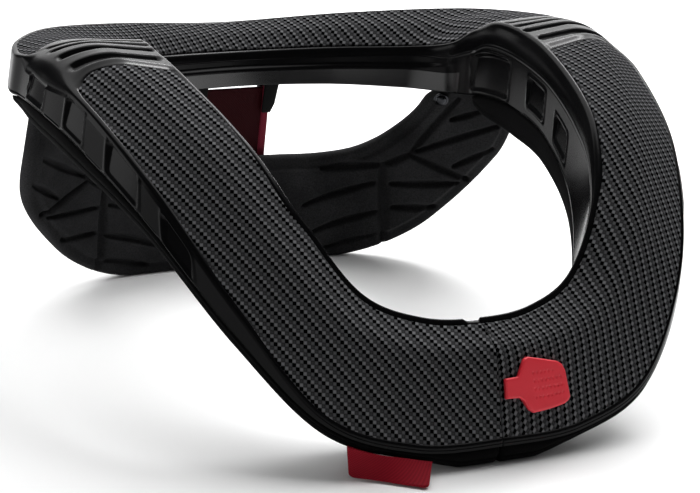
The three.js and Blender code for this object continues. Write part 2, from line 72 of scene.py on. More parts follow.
# Half of the back pad's front face, from its middle to the tip of its side lobe.
FLAP_COLUMNS = ["low_x", "low_y", "low_z", "top_x", "top_y", "top_z"]
FLAP = [
    [0, 76, 0, 0, 89.5, 44.5],
    [28, 76, 0, 22, 89, 44.3],
    [53, 75, 0, 42, 87.5, 44.3],
    [71, 70.5, 5.5, 57, 84.5, 46.8],
    [85.5, 66.3, 14, 66, 81, 52],
    [96.5, 63.8, 23.7, 72, 77.5, 58],
    [106, 61.3, 34, 77, 74.5, 64],
    [113, 58.2, 44.5, 80, 71.5, 70],
    [117, 54, 55.5, 82, 69, 76],
    [118.5, 50, 72.5, 84.5, 65.5, 80],
    [118.5, 48, 92.5, 88, 61.5, 85.1],
]
FLAP_THICKNESS = 9.0
FLAP_BORDER_THICKNESS = 5.5
FLAP_BORDER_RISE = 0.14
FLAP_HEIGHT, FLAP_ROW_LENGTH = 47.0, 13.0
LOBE_TURN = math.radians(27)
LOBE_THINNING = 3.0

# Grooves pressed into the back pad: row and rise at one end, row and rise at the other, and half the width.
FLAP_GROOVES = [
    (3.9, 0.76, 3.05, 0.03, 3.0),
    (2.0, 0.87, 3.8, 0.77, 2.0),
    (3.95, 0.75, 5.05, 0.69, 2.0),
    (5.05, 0.69, 8.9, 0.73, 2.0),
    (1.4, 0.53, 3.33, 0.63, 1.8),
    (1.5, 0.27, 3.12, 0.35, 1.8),
    (1.7, 0.1, 2.93, 0.13, 1.7),
    (3.85, 0.55, 5.85, 0.12, 1.8),
    (3.6, 0.33, 4.8, 0.08, 1.8),
    (5.1, 0.67, 6.2, 0.07, 1.8),
    (5.4, 0.67, 8.5, 0.17, 1.8),
    (6.15, 0.29, 7.7, 0.09, 1.7),
    (7.7, 0.65, 8.7, 0.43, 1.7),
]
FLAP_GROOVE_DEPTH = 3.0

# Fits, edges and low relief.
SEAM_HALF_GAP = 0.03
SEAM_ROUNDING = 0.5
FITTING_GAP = 0.42
RIM_WIDTH, FRONT_RIM_WIDTH = 1.3, 0.55
BEAD_WIDTH, ROLL_WIDTH = 2.3, 4.2
BEAD_RISE, ROLL_RISE, HIGH_LIP_RISE = 2.3, 1.3, 0.6
HIGH_LIP_DROP = 10.0
CREASE_SOFTNESS, SHOULDER_SOFTNESS = 0.45, 1.2
RECESS_STEP, RECESS_DEPTH = 0.2, 1.25
INLAY_GAP, INLAY_PROUD, INLAY_DEPTH = 0.2, 0.12, 1.1
FRONT_INSET, ARM_INSET, SHOULDER_INSET = 0.2, 0.5, 1.2
RIB_RISE, RIB_GROOVE_DEPTH = 1.2, 2.0
DENT_DEPTH, DENT_RIM = 1.2, 0.45
BAND_RISE = 1.5
HEEL, TOE, TOE_RISE = 1.6, 1.4, 1.2

# The outer edge of the top: along the arms and the back, at the front, and over the shoulders.
EDGE_IN, FRONT_EDGE_IN, SHOULDER_EDGE_IN = 1.3, 0.8, 5.5
EDGE_DROP, SHOULDER_EDGE_DROP = 1.2, 4.5
CORNER_OUT, FRONT_CORNER_OUT = 1.0, 0.45
CORNER_UP, FRONT_CORNER_UP, SHOULDER_CORNER_UP = 0.9, 0.5, 0.6

# Ring places of the inlays' ends, the pads' ends, the notch in the lip and the back bar's lower band, and
# the parts of the wall's height, from its top, between which that band comes in.
ARM_END_AT_LIP, ARM_END_AT_EDGE = 0.456, 0.457
ARM_END_CORNER, ARM_END_ROUNDING = 0.75, 0.018
BACK_START_AT_LIP, BACK_START_AT_EDGE = 0.75, 0.585
PAD_END = 0.645
NOTCH = (0.018, 0.026)
BAND_START = 0.7
BAND_COMES_IN, BAND_TOP = (0.68, 0.88), (0.34, 0.46)
INLAY_NARROWS, ARMS_STOP = (0.38, 0.455), 0.55

# Stretches of the ring: the ring places between which a form comes in, and those between which it goes out.
BROAD_CROWN = ((0.42, 0.5), (0.72, 0.82))
LIP_ROLL = ((0.24, 0.29), (0.6, 0.7))
HIGH_LIP = ((0.27, 0.36), (0.62, 0.86))
RIBS = ((0.42, 0.49), (0.68, 0.76))
ROUND_SHOULDER = ((0.42, 0.49), (0.565, 0.605))
FRONT_TO_ARM = (0.18, 0.34)

# Grooves between the ribs: ring place at the lip and at the edge, the parts of the top between which each
# runs, and half its width.
RIB_GROOVES = [
    (0.484, 0.473, 0.11, 0.88, 1.5),
    (0.515, 0.507, 0.075, 0.88, 1.4),
    (0.538, 0.545, 0.075, 0.88, 1.3),
    (0.563, 0.577, 0.08, 0.87, 1.2),
]

# Dents in the walls: the ring places between which each lies, and the parts of the wall from its top down.
OUTER_DENTS = [
    (0.289, 0.318, 0.2, 0.86),
    (0.344, 0.379, 0.1, 0.86),
    (0.409, 0.438, 0.12, 0.86),
    (0.484, 0.54, 0.05, 0.86),
]
INNER_DENTS = [
    (0.368, 0.4, 0.54, 0.86),
    (0.43, 0.47, 0.45, 0.84),
    (0.518, 0.642, 0.4, 0.93),
]

# About how many millimetres one unit of ring place is: at the seam, along the arms and across the shoulders.
SEAM_SPAN = 300.0
RING_SPAN = 400.0
RIB_SPAN = 230.0
SHOULDER_WIDTH = 45.0

# The collar's frame sits forward of the part's frame, whose origin is under the middle of the part's box.
BACK_EDGE = RING[-1][RING_COLUMNS.index("edge_y")] + RIM_WIDTH
CENTRE = np.array([0.0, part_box("collar_body")[1].y / MM - BACK_EDGE, 0.0])


def mix(start, end, part):
    return start + (end - start) * part


def unit(vectors):
    return vectors / np.linalg.norm(vectors, axis=-1, keepdims=True)


def ease(value, low, high):
    """0 below low, 1 above high, with a soft start and stop between."""
    part = np.clip((value - low) / (high - low), 0, 1)
    return part * part * (3 - 2 * part)


def stretch(place, comes_in, goes_out):
    """1 along a stretch of the ring, 0 beyond it, with soft ends."""
    return ease(place, *comes_in) * (1 - ease(place, *goes_out))


def read_rows(table, columns, place, closes):
    """Smooth sizes of a half table at places counted in rows. One that closes goes on as its mirror image."""
    rows = np.array(table, float)
    mirror = np.array([-1.0 if name.endswith("_x") else 1.0 for name in columns])
    after = rows[-2] * mirror if closes else 2 * rows[-1] - rows[-2]
    rows = np.vstack([rows[1] * mirror, rows, after])
    row = np.clip(np.floor(place).astype(int), 0, len(table) - 2)
    part = (place - row)[..., None]
    a, b, c, d = (rows[row + k] for k in range(4))
    turn = (2 * a - 5 * b + 4 * c - d) * part ** 2 + (3 * b - a - 3 * c + d) * part ** 3
    values = 0.5 * (2 * b + (c - a) * part + turn)
    return {name: values[..., i] for i, name in enumerate(columns)}


def ring_at(place):
    """The ring's sizes at places from the seam (0) past the middle of the back (1) to the seam again (2)."""
    place = np.asarray(place, float)
    signed = np.where(place > 1, place - 2, place)
    sizes = read_rows(RING, RING_COLUMNS, np.abs(signed) * (len(RING) - 1), True)
    side = np.where(signed >= 0, -1.0, 1.0)
    for name in ("lip_x", "edge_x"):
        sizes[name] = sizes[name] * side
    for name in ("pad_in", "pad_out"):
        sizes[name] = np.maximum(sizes[name], 0)
    out_x = sizes["edge_x"] - sizes["lip_x"]
    out_y = sizes["edge_y"] - sizes["lip_y"]
    sizes["width"] = np.hypot(out_x, out_y)
    sizes["out_x"] = out_x / sizes["width"]
    sizes["out_y"] = out_y / sizes["width"]
    sizes["place"] = np.abs(signed)
    sizes["signed"] = signed
    sizes["softness"] = mix(CREASE_SOFTNESS, SHOULDER_SOFTNESS, stretch(sizes["place"], *BROAD_CROWN))
    return sizes


def rim_width(place):
    """How far the outer bead stands out past the top's edge: little at the front, more along the arms."""
    return mix(FRONT_RIM_WIDTH, RIM_WIDTH, ease(place, *FRONT_TO_ARM))


def section_point(sizes, outward, height):
    """A point of an upright section: how far out from the lip, and how high over the floor."""
    x = sizes["lip_x"] + sizes["out_x"] * outward
    y = sizes["lip_y"] + sizes["out_y"] * outward
    return np.stack([x, y, height + 0 * x], -1) + CENTRE


def top_height(sizes, part):
    """Height of the top at a part of the way from lip to edge: two slopes that meet in a softened crease,
    softest over the shoulders, whose top is broad."""
    rising = part / sizes["crown_at"]
    falling = (1 - part) / (1 - sizes["crown_at"])
    softness = sizes["softness"]
    blend = np.maximum(softness - np.abs(rising - falling), 0) / softness
    crown = np.minimum(rising, falling) - blend * blend * softness * 0.25
    return sizes["lip_z"] + (sizes["edge_z"] - sizes["lip_z"]) * part + sizes["crown_up"] * crown


def top_point(place, part, lift=0.0):
    """A point of the top surface, at a distance along the surface's own normal."""
    place_step, part_step = 0.004, 0.02

    def at(p, f):
        sizes = ring_at(p)
        return section_point(sizes, sizes["width"] * f, top_height(sizes, f))
    along = at(place + place_step, part) - at(place - place_step, part)
    across = at(place, part + part_step) - at(place, part - part_step)
    normal = unit(np.cross(across, along))
    normal = normal * np.where(normal[..., 2:] < 0, -1.0, 1.0)
    return at(place, part) + normal * np.asarray(lift)[..., None]


# Making meshes.


def new_object(name, data):
    """An object in the scene, made of a mesh, a light or a camera."""
    made = bpy.data.objects.new(name, data)
    bpy.context.scene.collection.objects.link(made)
    return made


def make_piece(name, points, faces, finishes, node):
    """A smooth mesh object that stands for a node of the frame and rides on the part."""
    mesh = bpy.data.meshes.new(name)
    mesh.from_pydata((points * MM).tolist(), [], faces)
    mesh.update()
    mesh.polygons.foreach_set("use_smooth", [True] * len(mesh.polygons))
    piece = new_object(name, mesh)
    for finish in finishes:
        mesh.materials.append(finish)
    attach(piece, "root")
    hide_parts(node)
    return piece


def face_out(points, faces):
    """Turns all faces round if the closed shape that they make is inside out."""
    volume = 0.0
    for face in faces:
        corners = points[list(face)]
        fan = np.cross(corners[1:-1] - corners[0], corners[2:] - corners[0])
        volume += np.sum(fan * (corners[0] - points[0]))
    return faces if volume > 0 else [tuple(reversed(face)) for face in faces]


def skin(loops):
    """Skins a row of closed loops and closes both ends."""
    rows, count = loops.shape[:2]
    i, j = np.meshgrid(np.arange(rows - 1), np.arange(count), indexing="ij")
    k = (j + 1) % count
    quads = np.stack([i * count + j, i * count + k, (i + 1) * count + k, (i + 1) * count + j], -1)
    faces = [tuple(quad) for quad in quads.reshape(-1, 4).tolist()]
    faces.append(tuple(reversed(range(count))))
    faces.append(tuple(range((rows - 1) * count, rows * count)))
    points = loops.reshape(-1, 3)
    return points, face_out(points, faces)


def slab(upper, lower):
    """A closed plate between two grids of the same size."""
    rows, count = upper.shape[:2]
    size = rows * count
    at = np.arange(size).reshape(rows, count)
    corners = (at[:-1, :-1], at[1:, :-1], at[1:, 1:], at[:-1, 1:])
    over = np.stack([corner.ravel() for corner in corners], -1)
    under = over[:, ::-1] + size
    rim = np.concatenate([at[:-1, 0], at[-1, :-1], at[:0:-1, -1], at[0, :0:-1]])
    after = np.roll(rim, -1)
    sides = np.stack([after, rim, rim + size, after + size], -1)
    points = np.concatenate([upper.reshape(-1, 3), lower.reshape(-1, 3)])
    faces = np.concatenate([over, under, sides]).tolist()
    return points, face_out(points, [tuple(face) for face in faces])


def bend(start, corner, end, count):
    """A rounded corner between two points, each a pair of an outward distance and a height."""
    part = np.linspace(0, 1, count)
    weights = ((1 - part) ** 2, 2 * part * (1 - part), part ** 2)
    return [
        sum(weight * point[axis] for weight, point in zip(weights, (start, corner, end)))
        for axis in (0, 1)
    ]


def join_outline(runs):
    """The closed outline of each section, from runs that follow each other."""
    return [np.concatenate([run[axis] for run in runs], axis=1) for axis in (0, 1)]


def round_ends(loops, distance, depth):
    """Draws a skinned shape in at its two ends, so that their edges are rounded."""
    centre = loops.mean(axis=1, keepdims=True)
    away = loops - centre
    reach = np.linalg.norm(away, axis=2, keepdims=True)
    part = np.clip(1 - distance / depth, 0, 1)[:, None, None]
    return loops - away / np.maximum(reach, 1e-6) * depth * (1 - np.sqrt(1 - part ** 2))


def along_ring(start, end, step, fine_step):
    """Ring places at even distances, closest together over the dents and ribs."""
    fine = np.linspace(start, end, 6000)
    line = top_point(fine, np.full_like(fine, 0.5))
    length = np.linalg.norm(np.diff(line, axis=0), axis=1)
    middle = ring_at((fine[1:] + fine[:-1]) / 2)["place"]
    between = mix(step, fine_step, 0.6)
    spacing = np.interp(middle, [0.27, 0.28, 0.62, 0.63, 0.79, 0.8],
                        [step, fine_step, fine_step, between, between, step])
    reach = np.concatenate([[0], np.cumsum(length / spacing)])
    return np.interp(np.linspace(0, reach[-1], int(reach[-1]) + 1), reach, fine)


def edge_steps(length, step, edge=(0, 0.07, 0.2, 0.4, 0.7, 1.1)):
    """Distances along a length, close together at both ends where the edge is rounded."""
    edge = np.array(edge)
    count = max(int((length - 2 * edge[-1]) / step), 2)
    middle = np.linspace(edge[-1], length - edge[-1], count + 1)[1:-1]
    return np.concatenate([edge, middle, length - edge[::-1]])


def rounded_drop(distance, radius, depth):
    """How far a plate's top falls near its rounded edge."""
    part = np.clip(1 - distance / radius, 0, 1)
    return depth * (1 - np.sqrt(1 - part ** 2))


def lay_weave(piece, across, along):
    """Lays a print or weave flat over a piece along two directions, in millimetres."""
    mesh = piece.data
    layer = mesh.uv_layers.new(name="weave")
    points = np.empty(len(mesh.vertices) * 3)
    mesh.vertices.foreach_get("co", points)
    corners = np.empty(len(mesh.loops), int)
    mesh.loops.foreach_get("vertex_index", corners)
    flat = points.reshape(-1, 3) @ np.array([across, along]).T / MM
    layer.data.foreach_set("uv", flat[corners].ravel())


# Finishes.


def srgb(code):
    """A hex colour as it looks on a screen, turned to the linear values that light works with."""
    values = [int(code[i:i + 2], 16) / 255 for i in (1, 3, 5)]
    linear = [v / 12.92 if v <= 0.04045 else ((v + 0.055) / 1.055) ** 2.4 for v in values]
    return (*linear, 1.0)


def add(tree, kind, inputs=None, **settings):
    """Adds a node. An input is a value, an output to link, or a node whose first output is linked."""
    made = tree.nodes.new("ShaderNode" + kind)
    for name, value in settings.items():
        setattr(made, name, value)
    for name, value in (inputs or {}).items():
        source = value.outputs[0] if isinstance(value, bpy.types.Node) else value
        if isinstance(source, bpy.types.NodeSocket):
            tree.links.new(source, made.inputs[name])
        else:
            made.inputs[name].default_value = source
    return made


def new_finish(name):
    finish = bpy.data.materials.new(name)
    finish.use_nodes = True
    finish.node_tree.nodes.clear()
    return finish, finish.node_tree


def moulded_gloss_skin(name, shine):
    """Polyurethane foam with the dense skin that a polished mould leaves: black, glossy, a little uneven. The
    shine is how strongly it mirrors the studio."""
    finish, tree = new_finish(name)
    place = add(tree, "TexCoord").outputs["Object"]
    flow_mm, peel_mm = 24.0, 1.6
    flow = add(tree, "TexNoise", {"Vector": place, "Scale": 1 / (flow_mm * MM), "Detail": 3.0})
    peel = add(tree, "TexNoise", {"Vector": place, "Scale": 1 / (peel_mm * MM), "Detail": 2.0})
    rough = add(tree, "MapRange", {
        "Value": flow, "From Min": 0.3, "From Max": 0.7, "To Min": 0.18, "To Max": 0.26})
    colour = add(tree, "Mix", {"Factor": flow, 6: srgb("#060607"), 7: srgb("#0A0A0B")}, data_type="RGBA")
    bump = add(tree, "Bump", {"Height": peel, "Strength": 0.01, "Distance": 0.2 * MM})
    surface = add(tree, "BsdfPrincipled", {
        "Base Color": colour.outputs[2], "Roughness": rough, "IOR": 1.5,
        "Specular IOR Level": shine, "Normal": bump})
    add(tree, "OutputMaterial", {"Surface": surface})
    return finish


def twill_film():
    """A film printed with a carbon twill: each tow floats over two and dips under two, so cells of four greys
    step along a diagonal. The cells are about 1.4 mm, a little coarser than fine cloth, as the collar's print
    is. It has no sheen, which would wash out the print at low angles."""
    finish, tree = new_finish("satin_twill_print_film")
    cell_mm = (1.38, 1.42)
    tows_in_repeat = 4.0
    weave = add(tree, "UVMap", uv_map="weave")
    scaled = add(tree, "VectorMath", {0: weave, 1: (1 / cell_mm[0], 1 / cell_mm[1], 0)},
                 operation="MULTIPLY")
    whole = add(tree, "VectorMath", {0: scaled}, operation="FLOOR")
    inside = add(tree, "VectorMath", {0: scaled}, operation="FRACTION")
    cell = add(tree, "SeparateXYZ", {0: whole})
    spot = add(tree, "SeparateXYZ", {0: inside})
    step = add(tree, "Math", {0: cell.outputs["X"], 1: cell.outputs["Y"]}, operation="ADD")
    turn = add(tree, "Math", {0: step, 1: tows_in_repeat}, operation="FLOORED_MODULO")
    share = add(tree, "Math", {0: turn, 1: tows_in_repeat}, operation="DIVIDE")
    greys = add(tree, "ValToRGB", {"Fac": share})
    ramp = greys.color_ramp
    ramp.interpolation = "CONSTANT"
    for position, code in ((0.2, "#6A6A6C"), (0.45, "#323233"), (0.7, "#4C4C4E")):
        ramp.elements.new(position).color = srgb(code)
    ramp.elements[0].color = srgb("#020202")
    ramp.elements.remove(ramp.elements[-1])
    across = add(tree, "Math", {0: spot.outputs["X"], 1: math.pi}, operation="MULTIPLY")
    along = add(tree, "Math", {0: spot.outputs["Y"], 1: math.pi}, operation="MULTIPLY")
    round_across = add(tree, "Math", {0: across}, operation="SINE")
    round_along = add(tree, "Math", {0: along}, operation="SINE")
    pillow = add(tree, "Math", {0: round_across, 1: round_along}, operation="MULTIPLY")
    shade = add(tree, "MapRange", {"Value": pillow, "To Min": 0.55, "To Max": 1.12})
    fibre_mm = 0.25
    fibre = add(tree, "TexNoise", {"Vector": weave, "Scale": 1 / fibre_mm, "Detail": 1.0})
    speck = add(tree, "MapRange", {"Value": fibre, "To Min": 0.75, "To Max": 1.25})
    tone = add(tree, "Math", {0: shade, 1: speck}, operation="MULTIPLY")
    colour = add(tree, "VectorMath", {0: greys, "Scale": tone}, operation="SCALE")
    bump = add(tree, "Bump", {"Height": pillow, "Strength": 0.25, "Distance": 0.12 * MM})
    surface = add(tree, "BsdfPrincipled", {
        "Base Color": colour, "Roughness": 0.42, "IOR": 1.45,
        "Specular IOR Level": 0.0, "Normal": bump})
    add(tree, "OutputMaterial", {"Surface": surface})
    return finish


def cell_foam(name, dark, light, pore_mm, roughness):
    """Closed-cell foam pressed to shape: matte, with fine pores drawn about twice their size to show."""
    finish, tree = new_finish(name)
    place = add(tree, "TexCoord").outputs["Object"]
    cloud_mm = 18.0
    pores = add(tree, "TexVoronoi", {"Vector": place, "Scale": 1 / (pore_mm * MM)})
    cloud = add(tree, "TexNoise", {"Vector": place, "Scale": 1 / (cloud_mm * MM), "Detail": 4.0})
    fine = add(tree, "TexNoise", {"Vector": place, "Scale": 1 / (pore_mm * MM), "Detail": 3.0})
    blend = add(tree, "Math", {0: cloud, 1: fine}, operation="MULTIPLY")
    spread = add(tree, "MapRange", {"Value": blend, "From Min": 0.12, "From Max": 0.4})
    colour = add(tree, "Mix", {"Factor": spread, 6: srgb(dark), 7: srgb(light)}, data_type="RGBA")
    bump = add(tree, "Bump", {"Height": pores, "Strength": 0.35, "Distance": 0.25 * MM})
    surface = add(tree, "BsdfPrincipled", {
        "Base Color": colour.outputs[2], "Roughness": roughness, "IOR": 1.45,
        "Specular IOR Level": 0.1, "Normal": bump})
    add(tree, "OutputMaterial", {"Surface": surface})
    return finish


def woven_tape(name, dark, light, thread_mm, roughness):
    """Woven polyester: crossing threads, drawn coarse enough to show, with a painted highlight along their
    tops.
    """
    finish, tree = new_finish(name)
    weave = add(tree, "UVMap", uv_map="weave")
    turns = 2 * math.pi / thread_mm
    scaled = add(tree, "VectorMath", {0: weave, 1: (turns, turns, 0)}, operation="MULTIPLY")
    split = add(tree, "SeparateXYZ", {0: scaled})
    warp = add(tree, "Math", {0: split.outputs["X"]}, operation="SINE")
    weft = add(tree, "Math", {0: split.outputs["Y"]}, operation="SINE")
    cross = add(tree, "Math", {0: warp, 1: weft}, operation="MULTIPLY")
    height = add(tree, "MapRange", {"Value": cross, "From Min": -1.0, "From Max": 1.0})
    # Painted highlight on the threads' tops and painted shade in the dips between them: the colour follows
    # their height.
    colour = add(tree, "Mix", {"Factor": height, 6: srgb(dark), 7: srgb(light)}, data_type="RGBA")
    bump = add(tree, "Bump", {"Height": height, "Strength": 0.4, "Distance": 0.12 * MM})
    surface = add(tree, "BsdfPrincipled", {
        "Base Color": colour.outputs[2], "Roughness": roughness, "IOR": 1.5,
        "Specular IOR Level": 0.07, "Normal": bump})
    add(tree, "OutputMaterial", {"Surface": surface})
    return finish


def moulded_plain(name, dark, light, grain_mm, roughness, metallic=0.0, shine=0.5):
    """A moulded or turned solid with a fine even grain and a slow drift in its colour."""
    finish, tree = new_finish(name)
    place = add(tree, "TexCoord").outputs["Object"]
    drift_mm = 9.0
    drift = add(tree, "TexNoise", {"Vector": place, "Scale": 1 / (drift_mm * MM), "Detail": 3.0})
    grain = add(tree, "TexNoise", {"Vector": place, "Scale": 1 / (grain_mm * MM), "Detail": 2.0})
    colour = add(tree, "Mix", {"Factor": drift, 6: srgb(dark), 7: srgb(light)}, data_type="RGBA")
    bump = add(tree, "Bump", {"Height": grain, "Strength": 0.05, "Distance": 0.1 * MM})
    surface = add(tree, "BsdfPrincipled", {
        "Base Color": colour.outputs[2], "Roughness": roughness, "IOR": 1.5, "Metallic": metallic,
        "Specular IOR Level": shine, "Normal": bump})
    add(tree, "OutputMaterial", {"Surface": surface})
    return finish


# The back bar's inner wall mirrors the pale floor, and the rest of the body hardly does.
GLOSS_SKIN = moulded_gloss_skin("moulded_gloss_polyurethane_skin", 0.08)
BAR_SKIN = moulded_gloss_skin("polished_gloss_polyurethane_skin", 0.6)
TWILL_FILM = twill_film()
UNDER_PAD_FOAM = cell_foam("matte_closed_cell_foam", "#040404", "#080809", 0.9, 0.95)
BACK_PAD_FOAM = cell_foam("pressed_closed_cell_foam", "#1C1C1D", "#303031", 0.7, 0.9)
STRAP_TAPE = woven_tape("coated_polyester_webbing", "#260408", "#36070C", 1.2, 0.6)
LABEL_TAPE = woven_tape("woven_label_polyester", "#6E0C18", "#961828", 0.6, 0.65)
STRAP_BINDING = woven_tape("folded_polyester_binding", "#6A1C28", "#8A2C40", 0.8, 0.6)
# Nylon is a dull black, turned nickel mirrors the studio darkly, and silicone is an even soft red.
CLIP_NYLON = moulded_plain("moulded_nylon", "#040404", "#080809", 0.6, 0.55, shine=0.1)
RIVET_NICKEL = moulded_plain("turned_black_nickel", "#2A2B2D", "#3C3D40", 0.5, 0.25, metallic=1.0)
TAB_SILICONE = moulded_plain("moulded_silicone_rubber", "#DA2434", "#E82C3C", 0.5, 0.5)


# The outline of the inlays and of their recesses.


def edge_fall(sizes):
    """How steeply the top falls at its outer edge."""
    step = 0.04
    return (top_height(sizes, 1.0) - top_height(sizes, 1 - step)) / (step * sizes["width"])


def outer_inset(sizes):
    """How far inside the edge an inlay ends, measured down the slope. It is drawn in at the shoulder."""
    down_slope = mix(FRONT_INSET, ARM_INSET, ease(sizes["place"], *FRONT_TO_ARM))
    drawn_in = SHOULDER_INSET * ease(sizes["place"], *INLAY_NARROWS)
    on_arm = sizes["place"] < ARMS_STOP
    return down_slope / np.sqrt(1 + edge_fall(sizes) ** 2) + np.where(on_arm, drawn_in, 0)


def lip_width(place):
    """Width of the gloss lip: a narrow bead at the front and back, a broader roll along the arms."""
    return mix(BEAD_WIDTH, ROLL_WIDTH, stretch(place, *LIP_ROLL))


def recess_sides(sizes):
    """The inner and outer sides of the inlays' recesses, measured out from the lip."""
    return lip_width(sizes["place"]) + RECESS_STEP, sizes["width"] - outer_inset(sizes)


def arm_end(v):
    """Ring place of an arm inlay's upper end, at a part of its width. The outer corner is rounded off."""
    corner = np.maximum(v - ARM_END_CORNER, 0) / (1 - ARM_END_CORNER)
    return mix(ARM_END_AT_LIP, ARM_END_AT_EDGE, v) - ARM_END_ROUNDING * corner ** 2


def back_start(v):
    """Ring place of the back inlay's slanting ends, at a part of its width."""
    return mix(BACK_START_AT_LIP, BACK_START_AT_EDGE, v)


def inside_inlay(sizes, outward):
    """Distance inside the nearest inlay's outline, less than 0 outside it."""
    place = sizes["place"]
    inner, outer = recess_sides(sizes)
    v = np.clip((outward - inner) / (outer - inner), 0, 1)
    across = np.minimum(outward - inner, outer - outward)
    to_end = np.maximum(arm_end(v) - place, place - back_start(v)) * RIB_SPAN
    return np.minimum(across, to_end)


# The body's low relief.


def rib_groove_depth(sizes, part):
    """How deep the round-ended grooves between the shoulders' ribs are."""
    depth = np.zeros(part.shape)
    for at_lip, at_edge, start, stop, half_width in RIB_GROOVES:
        across = (sizes["place"] - mix(at_lip, at_edge, part)) * RIB_SPAN
        round_end = half_width / SHOULDER_WIDTH
        past_end = np.maximum(np.maximum(start + round_end - part, part - stop + round_end), 0)
        away = np.hypot(across, past_end * sizes["width"])
        depth = np.maximum(depth, 1 - ease(away, half_width - 1.0, half_width + 0.7))
    return RIB_GROOVE_DEPTH * depth


def dent_depth(place, part, wall, dents):
    """How deep the wall's dents are, deepest at their tops, with the small raised rim round each."""
    slant, sharpness = 0.006, 1.6
    depth = np.zeros(part.shape)
    for start, stop, top, foot in dents:
        b = (part - top) / (foot - top)
        a = (place - slant * (0.5 - b) - start) / (stop - start)
        along = np.minimum(a, 1 - a) * (stop - start) * RING_SPAN
        down = np.minimum(b, 1 - b) * (foot - top) * wall
        inside = -np.logaddexp(-sharpness * along, -sharpness * down) / sharpness
        hollow = DENT_DEPTH * (1.5 - 1.2 * np.clip(b, 0, 1)) * ease(inside, 0, 0.8)
        rim = DENT_RIM * np.exp(-((inside + 0.5) / 0.45) ** 2)
        depth += hollow - rim
    return depth


# The body's section, run by run. Sizes are columns, one row for each section.

TOE_STEPS, WALL_STEPS, POLISHED_WALL_STEPS = 4, 28, 15
LIP_STEPS, TOP_STEPS, RIM_STEPS, OUTER_WALL_STEPS, HEEL_STEPS = 13, 34, 10, 20, 4
OUTER_WALL_END = 0.93


def body_at(places):
    """The ring's sizes, with those that the body alone needs."""
    s = ring_at(places)
    place = s["place"]
    s["ribs"] = stretch(place, *RIBS)
    s["rib_rise"] = RIB_RISE * s["ribs"]
    s["lip_roll"] = lip_width(place)
    s["high_lip"] = stretch(place, *HIGH_LIP)
    s["lip_drop"] = mix(s["lip_roll"] - 0.3, HIGH_LIP_DROP, s["high_lip"])
    s["rim"] = s["width"] + rim_width(place)
    s["foot"] = s["lip_z"] - s["wall_in"]
    s["outer_foot"] = s["edge_z"] - s["wall_out"]
    s["front"] = 1 - ease(place, *FRONT_TO_ARM)
    s["round_edge"] = stretch(place, *ROUND_SHOULDER)
    down_slope = mix(EDGE_IN, FRONT_EDGE_IN, s["front"]) / np.sqrt(1 + edge_fall(s) ** 2)
    s["edge_in"] = mix(down_slope, SHOULDER_EDGE_IN, s["round_edge"])
    s["edge_drop"] = mix(EDGE_DROP, SHOULDER_EDGE_DROP, s["round_edge"])
    return s


def body_toe(s):
    """The rounded inner edge of the underside."""
    inner = -s["lean"]
    return bend([TOE + inner, s["foot"]], [inner, s["foot"]], [inner, s["foot"] + TOE_RISE], TOE_STEPS)


def body_inner_wall(s):
    """From the foot up to the lip, with dents and, along the back bar, a lower band that stands proud."""
    start = s["lip_drop"] / s["wall_in"]
    part = np.linspace(1, 0, WALL_STEPS) * (1 - start) + start
    dents = dent_depth(s["place"], part, s["wall_in"], INNER_DENTS)
    band = BAND_RISE * ease(s["place"], *BAND_COMES_IN) * ease(part, *BAND_TOP)
    return [-s["lean"] * part + dents - band, s["lip_z"] - s["wall_in"] * part]


def body_lip(s):
    """The inner edge of the top: a bead, or the arms' higher roll, notched left of the seam."""
    notch = np.where(s["signed"] > 0, ease(s["signed"], *NOTCH), 1.0)
    low_rise = mix(BEAD_RISE, ROLL_RISE, stretch(s["place"], *LIP_ROLL))
    rise = mix(low_rise, HIGH_LIP_RISE, s["high_lip"]) * notch + s["rib_rise"]
    start = [-s["lean"] * s["lip_drop"] / s["wall_in"], s["lip_z"] - s["lip_drop"]]
    end_z = top_height(s, s["lip_roll"] / s["width"]) - 0.15 * (1 - s["ribs"]) + s["rib_rise"]
    outward, height = bend(start, [0.4, s["lip_z"] + rise], [s["lip_roll"], end_z], LIP_STEPS)
    return [outward, height - rib_groove_depth(s, outward / s["width"])]


def body_top(s):
    """The top, with the inlays' recesses and the shoulders' ribs."""
    outward = mix(s["lip_roll"], s["width"] - s["edge_in"], np.linspace(0, 1, TOP_STEPS)[1:-1])
    part = outward / s["width"]
    inside = inside_inlay(s, outward)
    recess = RECESS_DEPTH * ease(inside, -0.3, 0.9)
    raised = s["rib_rise"] * ease(-inside, 0.2, 2.6)
    return [outward, top_height(s, part) - recess + raised - rib_groove_depth(s, part)]


def body_edge(s):
    """The bead at the outer edge of the top, or the broad round edge of the shoulders."""
    start = s["width"] - s["edge_in"]
    start_z = top_height(s, start / s["width"]) + s["rib_rise"] * s["round_edge"]
    corner = s["width"] + mix(CORNER_OUT, FRONT_CORNER_OUT, s["front"])
    low_corner = mix(CORNER_UP, FRONT_CORNER_UP, s["front"])
    corner_z = s["edge_z"] + mix(low_corner, SHOULDER_CORNER_UP, s["round_edge"])
    end = [s["rim"], s["edge_z"] - s["edge_drop"]]
    return bend([start, start_z], [corner, corner_z], end, RIM_STEPS)


def body_outer_wall(s):
    """From the outer edge down to the heel, with dents."""
    part = mix(s["edge_drop"] / s["wall_out"], OUTER_WALL_END, np.linspace(0, 1, OUTER_WALL_STEPS)[1:])
    dents = dent_depth(s["place"], part, s["wall_out"], OUTER_DENTS)
    return [s["rim"] + s["flare"] * part - dents, s["edge_z"] - s["wall_out"] * part]


def body_heel(s):
    """The rounded outer edge of the underside."""
    outer = s["rim"] + s["flare"]
    start = [s["rim"] + s["flare"] * OUTER_WALL_END, s["edge_z"] - s["wall_out"] * OUTER_WALL_END]
    end = [outer - HEEL, mix(s["outer_foot"], s["foot"], HEEL / s["width"])]
    return bend(start, [outer, s["outer_foot"]], end, HEEL_STEPS)


